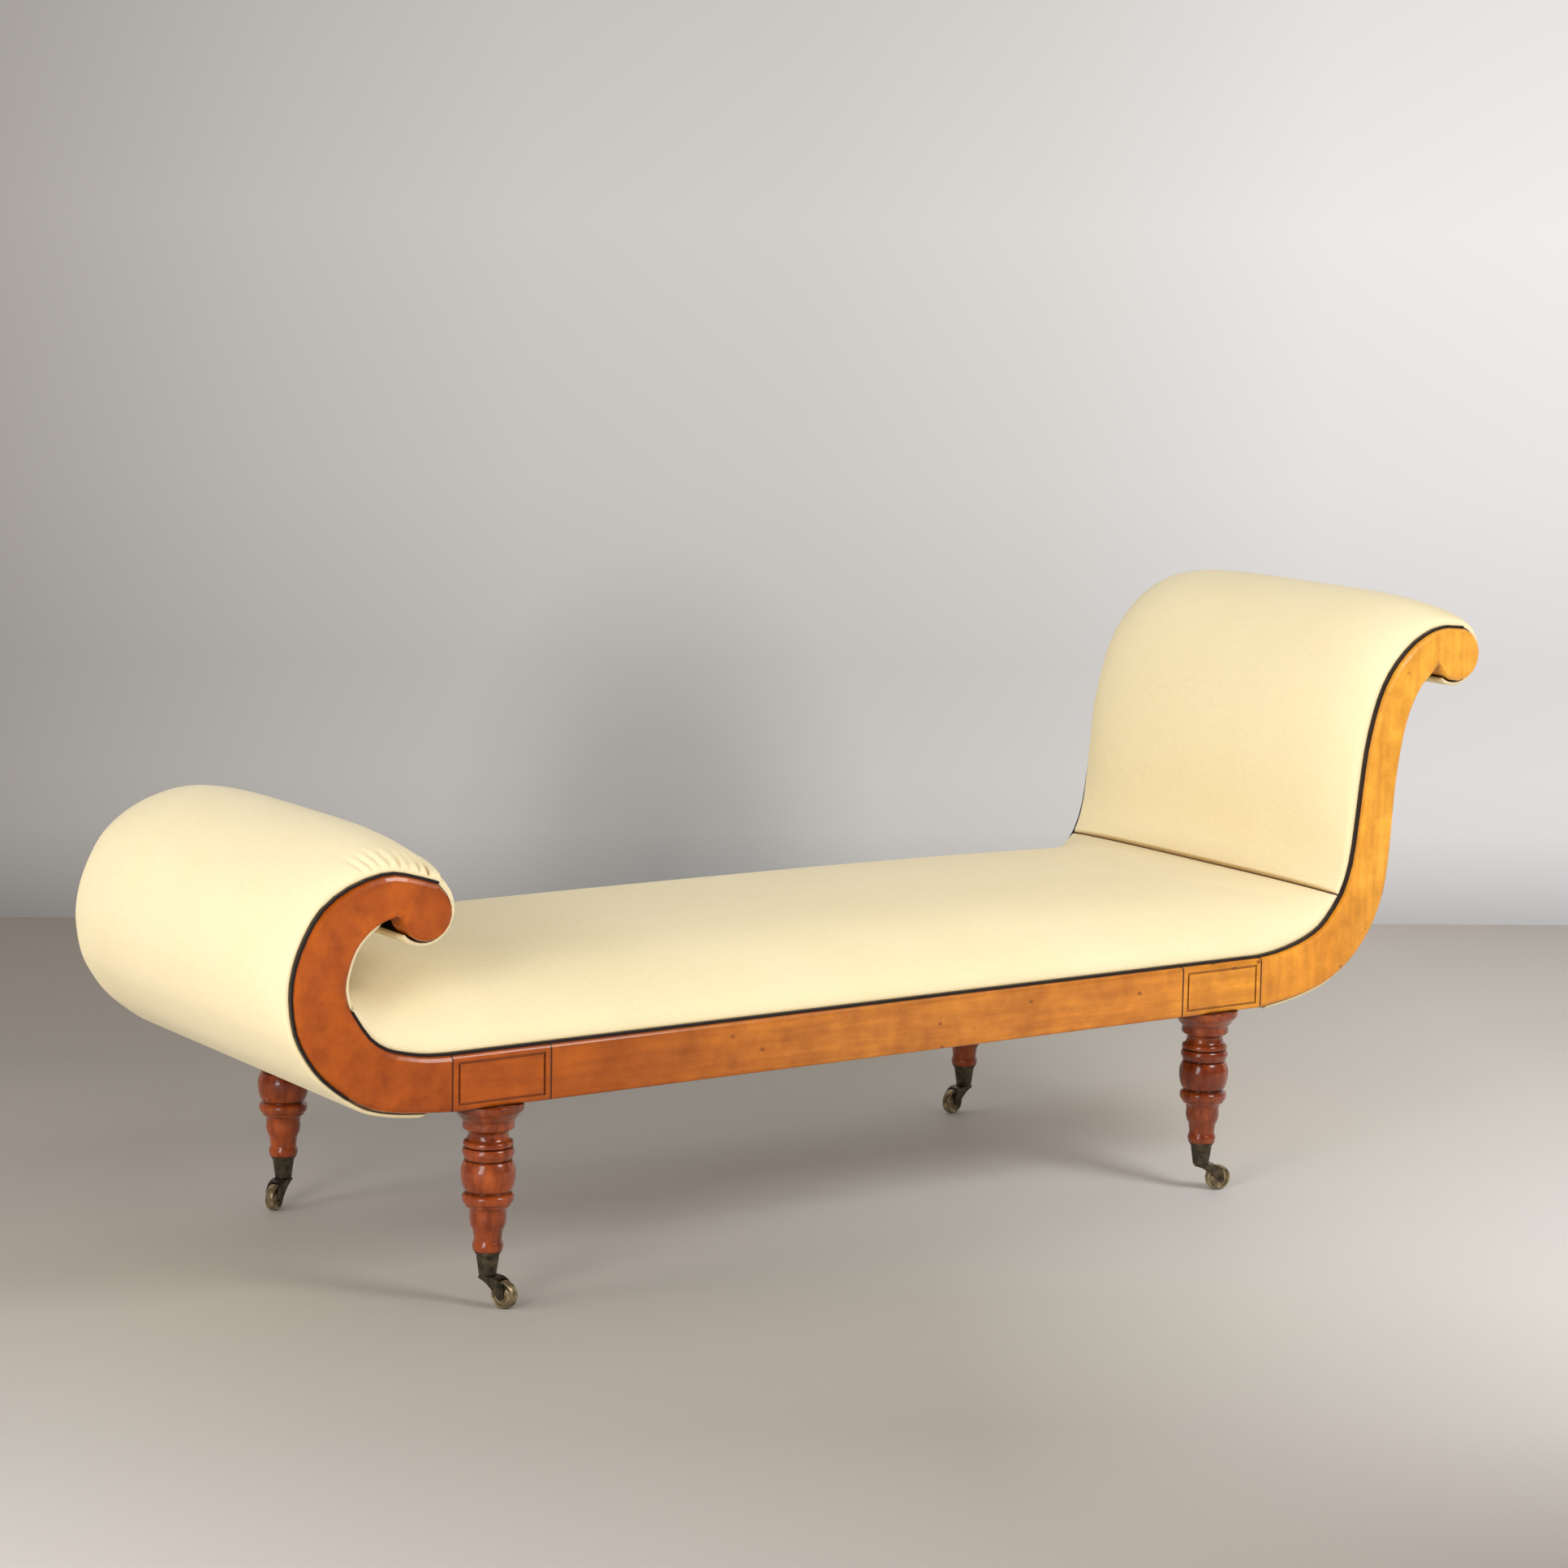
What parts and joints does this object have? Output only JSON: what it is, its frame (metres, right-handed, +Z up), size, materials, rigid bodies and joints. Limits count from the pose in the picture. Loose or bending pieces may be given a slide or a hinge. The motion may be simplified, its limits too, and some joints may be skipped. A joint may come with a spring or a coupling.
{
  "type": "fainting couch",
  "caption": "Upholstered fainting couch with a low rolled foot, a raised scrolled head, show-wood side frames, turned legs and swivel casters.",
  "frame": {"origin": "on the floor, under the middle of the couch's length and width", "axes": "+X along the couch towards the raised head end, -Y towards the front side, +Z up"},
  "size_m": [1.9336, 0.656, 0.8256],
  "materials": {
    "satinwood": "french polished",
    "mahogany": "french polished",
    "ebonised_bead": "ebonised, polished",
    "beech": "raw, hidden",
    "jute_webbing": "woven jute",
    "cover_cloth": "plain tight weave",
    "caster_brass": "dark patina",
    "wheel_brass": "worn"
  },
  "bodies": {
    "root": {"front_foot_scroll": "satinwood", "front_foot_block": "satinwood", "front_rail": "satinwood", "front_head_block": "satinwood", "front_head_scroll": "satinwood", "front_seat_bead": "ebonised_bead", "front_foot_bead": "ebonised_bead", "front_foot_leg": "mahogany", "front_foot_caster_cup": "caster_brass", "front_foot_corner_block": "beech", "front_head_leg": "mahogany", "front_head_caster_cup": "caster_brass", "front_head_corner_block": "beech", "rear_foot_scroll": "satinwood", "rear_foot_block": "satinwood", "rear_rail": "satinwood", "rear_head_block": "satinwood", "rear_head_scroll": "satinwood", "rear_seat_bead": "ebonised_bead", "rear_foot_bead": "ebonised_bead", "rear_foot_leg": "mahogany", "rear_foot_caster_cup": "caster_brass", "rear_foot_corner_block": "beech", "rear_head_leg": "mahogany", "rear_head_caster_cup": "caster_brass", "rear_head_corner_block": "beech", "foot_cross_rail": "beech", "head_cross_rail": "beech", "foot_stretcher": "beech", "head_stretcher": "beech", "foot_bottom_rail": "beech", "foot_back_rail": "beech", "head_bottom_rail": "beech", "head_back_rail": "beech", "foot_crest_rail": "beech", "head_crest_rail": "beech", "seat_webbing": "jute_webbing", "foot_webbing": "jute_webbing", "head_webbing": "jute_webbing", "seat_pad": "cover_cloth", "head_pad": "cover_cloth", "foot_roll_pad": "cover_cloth", "foot_inside_pad": "cover_cloth", "head_back_cover": "cover_cloth"},
    "front_foot_caster": {"front_foot_caster_horn": "caster_brass", "front_foot_caster_axle": "caster_brass"},
    "front_foot_wheel": {"front_foot_caster_wheel": "wheel_brass"},
    "front_head_caster": {"front_head_caster_horn": "caster_brass", "front_head_caster_axle": "caster_brass"},
    "front_head_wheel": {"front_head_caster_wheel": "wheel_brass"},
    "rear_foot_caster": {"rear_foot_caster_horn": "caster_brass", "rear_foot_caster_axle": "caster_brass"},
    "rear_foot_wheel": {"rear_foot_caster_wheel": "wheel_brass"},
    "rear_head_caster": {"rear_head_caster_horn": "caster_brass", "rear_head_caster_axle": "caster_brass"},
    "rear_head_wheel": {"rear_head_caster_wheel": "wheel_brass"}
  },
  "joints": [
    {"name": "front_foot_swivel", "type": "hinge", "parent": "root", "child": "front_foot_caster", "pos_m": [-0.66286, -0.283, 0.04], "axis": [0, 0, 1], "continuous": true},
    {"name": "front_foot_wheel_spin", "type": "hinge", "parent": "front_foot_caster", "child": "front_foot_wheel", "pos_m": [-0.65274, -0.30803, 0.01765], "axis": [0.9272, 0.3746, 0], "continuous": true},
    {"name": "front_head_swivel", "type": "hinge", "parent": "root", "child": "front_head_caster", "pos_m": [0.48714, -0.283, 0.04], "axis": [0, 0, 1], "continuous": true},
    {"name": "front_head_wheel_spin", "type": "hinge", "parent": "front_head_caster", "child": "front_head_wheel", "pos_m": [0.51345, -0.28907, 0.01765], "axis": [0.225, 0.9744, 0], "continuous": true},
    {"name": "rear_foot_swivel", "type": "hinge", "parent": "root", "child": "rear_foot_caster", "pos_m": [-0.66286, 0.283, 0.04], "axis": [0, 0, 1], "continuous": true},
    {"name": "rear_foot_wheel_spin", "type": "hinge", "parent": "rear_foot_caster", "child": "rear_foot_wheel", "pos_m": [-0.68442, 0.26675, 0.01765], "axis": [0.6018, -0.7986, 0], "continuous": true},
    {"name": "rear_head_swivel", "type": "hinge", "parent": "root", "child": "rear_head_caster", "pos_m": [0.48714, 0.283, 0.04], "axis": [0, 0, 1], "continuous": true},
    {"name": "rear_head_wheel_spin", "type": "hinge", "parent": "rear_head_caster", "child": "rear_head_wheel", "pos_m": [0.46106, 0.27601, 0.01765], "axis": [0.2588, -0.9659, 0], "continuous": true}
  ]
}
